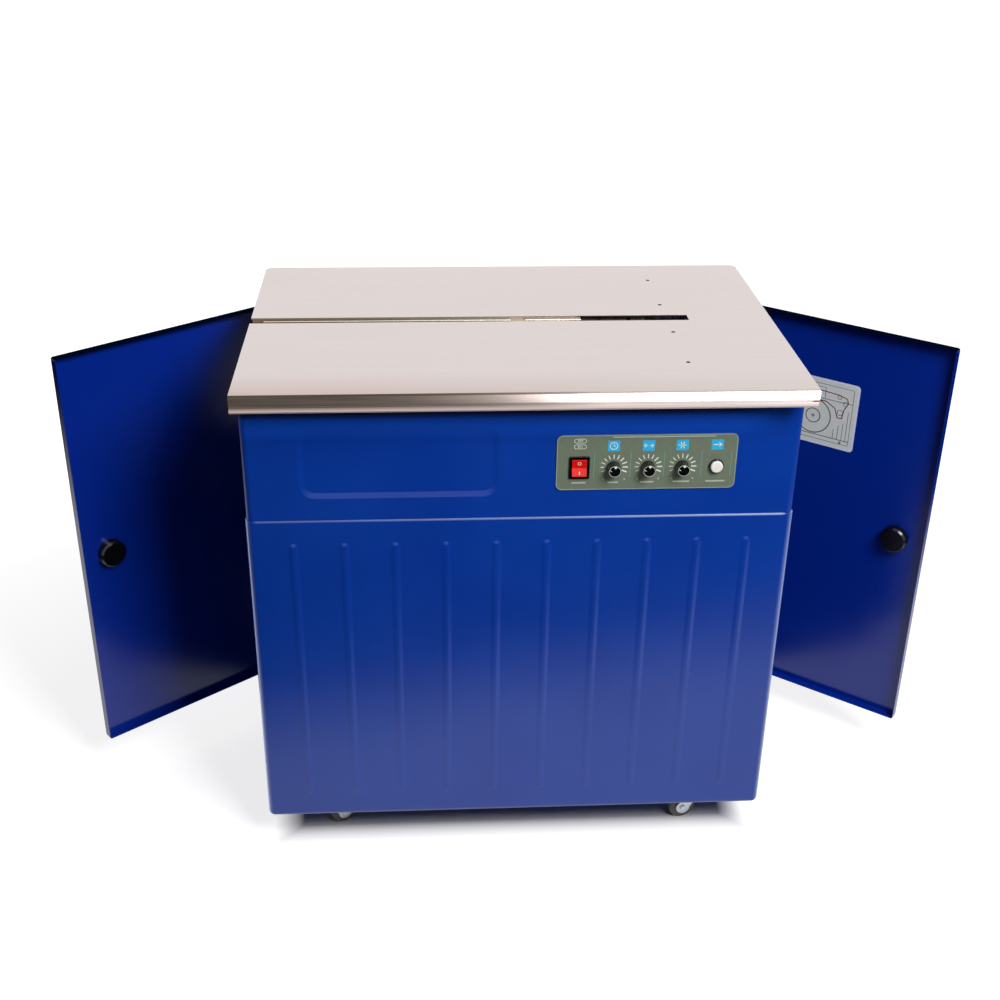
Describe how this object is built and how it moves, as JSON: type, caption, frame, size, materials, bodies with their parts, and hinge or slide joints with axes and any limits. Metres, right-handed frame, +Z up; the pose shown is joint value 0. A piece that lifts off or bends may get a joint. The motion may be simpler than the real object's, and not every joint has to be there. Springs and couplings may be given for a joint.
{
  "type": "table strapping machine",
  "caption": "Table-height semi-automatic strapping machine: steel cabinet on casters, stainless table with a strap slot, front dial panel and open side doors over reel, head and motor.",
  "frame": {"origin": "on the floor under the middle of the table", "axes": "+X to the right along the table, -Y to the front with the control panel, +Z up"},
  "size_m": [1.441, 0.58, 0.84],
  "materials": {
    "blue_paint": "gloss blue powder coat on folded sheet steel",
    "stainless": "brushed stainless sheet",
    "zinc_steel": "bright zinc plated steel",
    "bright_steel": "machined steel",
    "black_plastic": "gloss black moulded plastic",
    "red_plastic": "translucent red moulded plastic",
    "white_plastic": "white moulded plastic",
    "panel_film": "satin olive grey printed film on a metal plate",
    "grey_enamel": "grey machine enamel",
    "cast_grey": "grey painted casting",
    "belt_rubber": "black moulded rubber",
    "reel_steel": "black painted sheet steel",
    "wheel_nylon": "dark grey moulded nylon",
    "roller_rubber": "dark rubber roller"
  },
  "bodies": {
    "cabinet": {"table_top": "stainless", "guide_strips": "bright_steel", "strap_chute": "zinc_steel", "chute_walls": "zinc_steel", "front_upper_panel": "blue_paint", "front_lower_panel": "blue_paint", "rear_upper_panel": "blue_paint", "rear_lower_panel": "blue_paint", "base_pan": "blue_paint", "side_rails": "blue_paint", "cross_rails": "zinc_steel", "head_plates": "bright_steel", "slide_plate": "bright_steel", "gripper_blocks": "bright_steel", "cam_shaft": "bright_steel", "feed_rollers": "roller_rubber", "gearbox": "cast_grey", "motor_bracket": "zinc_steel", "motor": "grey_enamel", "drive_pulleys": "bright_steel", "drive_belt": "belt_rubber", "reel_flanges": "reel_steel", "reel_hub": "reel_steel", "reel_shaft": "bright_steel", "reel_stand": "zinc_steel", "control_box": "zinc_steel", "control_plate": "panel_film", "switch_bezel": "black_plastic", "button_collar": "black_plastic", "fixed_hinges": "zinc_steel", "caster_plates": "zinc_steel"},
    "right_door_leaf": {"right_door": "blue_paint", "right_door_pull": "black_plastic", "right_door_hinges": "zinc_steel"},
    "left_door_leaf": {"left_door": "blue_paint", "left_door_pull": "black_plastic", "left_door_hinges": "zinc_steel"},
    "switch_rocker_body": {"switch_rocker": "red_plastic"},
    "timer_knob_body": {"timer_knob": "black_plastic"},
    "tension_knob_body": {"tension_knob": "black_plastic"},
    "cooling_knob_body": {"cooling_knob": "black_plastic"},
    "feed_button_body": {"feed_button": "white_plastic"},
    "front_left_swivel": {"front_left_fork": "zinc_steel"},
    "front_left_roller": {"front_left_wheel": "wheel_nylon"},
    "front_right_swivel": {"front_right_fork": "zinc_steel"},
    "front_right_roller": {"front_right_wheel": "wheel_nylon"},
    "rear_left_swivel": {"rear_left_fork": "zinc_steel"},
    "rear_left_roller": {"rear_left_wheel": "wheel_nylon"},
    "rear_right_swivel": {"rear_right_fork": "zinc_steel"},
    "rear_right_roller": {"rear_right_wheel": "wheel_nylon"}
  },
  "joints": [
    {"name": "right_door_hinge", "type": "hinge", "parent": "cabinet", "child": "right_door_leaf", "pos_m": [0.4165, 0.222, 0.19], "axis": [0, 0, 1], "range_deg": [-51.7, 58.3]},
    {"name": "left_door_hinge", "type": "hinge", "parent": "cabinet", "child": "left_door_leaf", "pos_m": [-0.4165, 0.222, 0.19], "axis": [0, 0, -1], "range_deg": [-51.7, 58.3]},
    {"name": "power_rocker", "type": "hinge", "parent": "cabinet", "child": "switch_rocker_body", "pos_m": [0.082, -0.2456, 0.702], "axis": [1, 0, 0], "range_deg": [0, 14]},
    {"name": "timer_dial", "type": "hinge", "parent": "cabinet", "child": "timer_knob_body", "pos_m": [0.133, -0.2456, 0.702], "axis": [0, 1, 0], "range_deg": [-120, 120]},
    {"name": "tension_dial", "type": "hinge", "parent": "cabinet", "child": "tension_knob_body", "pos_m": [0.184, -0.2456, 0.702], "axis": [0, 1, 0], "range_deg": [-120, 120]},
    {"name": "cooling_dial", "type": "hinge", "parent": "cabinet", "child": "cooling_knob_body", "pos_m": [0.235, -0.2456, 0.702], "axis": [0, 1, 0], "range_deg": [-120, 120]},
    {"name": "feed_button_press", "type": "slide", "parent": "cabinet", "child": "feed_button_body", "axis": [0, 1, 0], "range_m": [0, 0.0025], "stiffness_N_per_m": 300, "springref_m": -0.002},
    {"name": "front_left_swivel_pin", "type": "hinge", "parent": "cabinet", "child": "front_left_swivel", "pos_m": [-0.312, -0.19, 0.046], "axis": [0, 0, 1], "continuous": true},
    {"name": "front_left_wheel_axle", "type": "hinge", "parent": "front_left_swivel", "child": "front_left_roller", "pos_m": [-0.29434, -0.18061, 0.023], "axis": [-0.4695, 0.8829, 0], "continuous": true},
    {"name": "front_right_swivel_pin", "type": "hinge", "parent": "cabinet", "child": "front_right_swivel", "pos_m": [0.312, -0.19, 0.046], "axis": [0, 0, 1], "continuous": true},
    {"name": "front_right_wheel_axle", "type": "hinge", "parent": "front_right_swivel", "child": "front_right_roller", "pos_m": [0.2923, -0.19347, 0.023], "axis": [0.1736, -0.9848, 0], "continuous": true},
    {"name": "rear_left_swivel_pin", "type": "hinge", "parent": "cabinet", "child": "rear_left_swivel", "pos_m": [-0.312, 0.19, 0.046], "axis": [0, 0, 1], "continuous": true},
    {"name": "rear_left_wheel_axle", "type": "hinge", "parent": "rear_left_swivel", "child": "rear_left_roller", "pos_m": [-0.33132, 0.19518, 0.023], "axis": [-0.2588, -0.9659, 0], "continuous": true},
    {"name": "rear_right_swivel_pin", "type": "hinge", "parent": "cabinet", "child": "rear_right_swivel", "pos_m": [0.312, 0.19, 0.046], "axis": [0, 0, 1], "continuous": true},
    {"name": "rear_right_wheel_axle", "type": "hinge", "parent": "rear_right_swivel", "child": "rear_right_roller", "pos_m": [0.29201, 0.1893, 0.023], "axis": [0.0349, -0.9994, 0], "continuous": true}
  ]
}
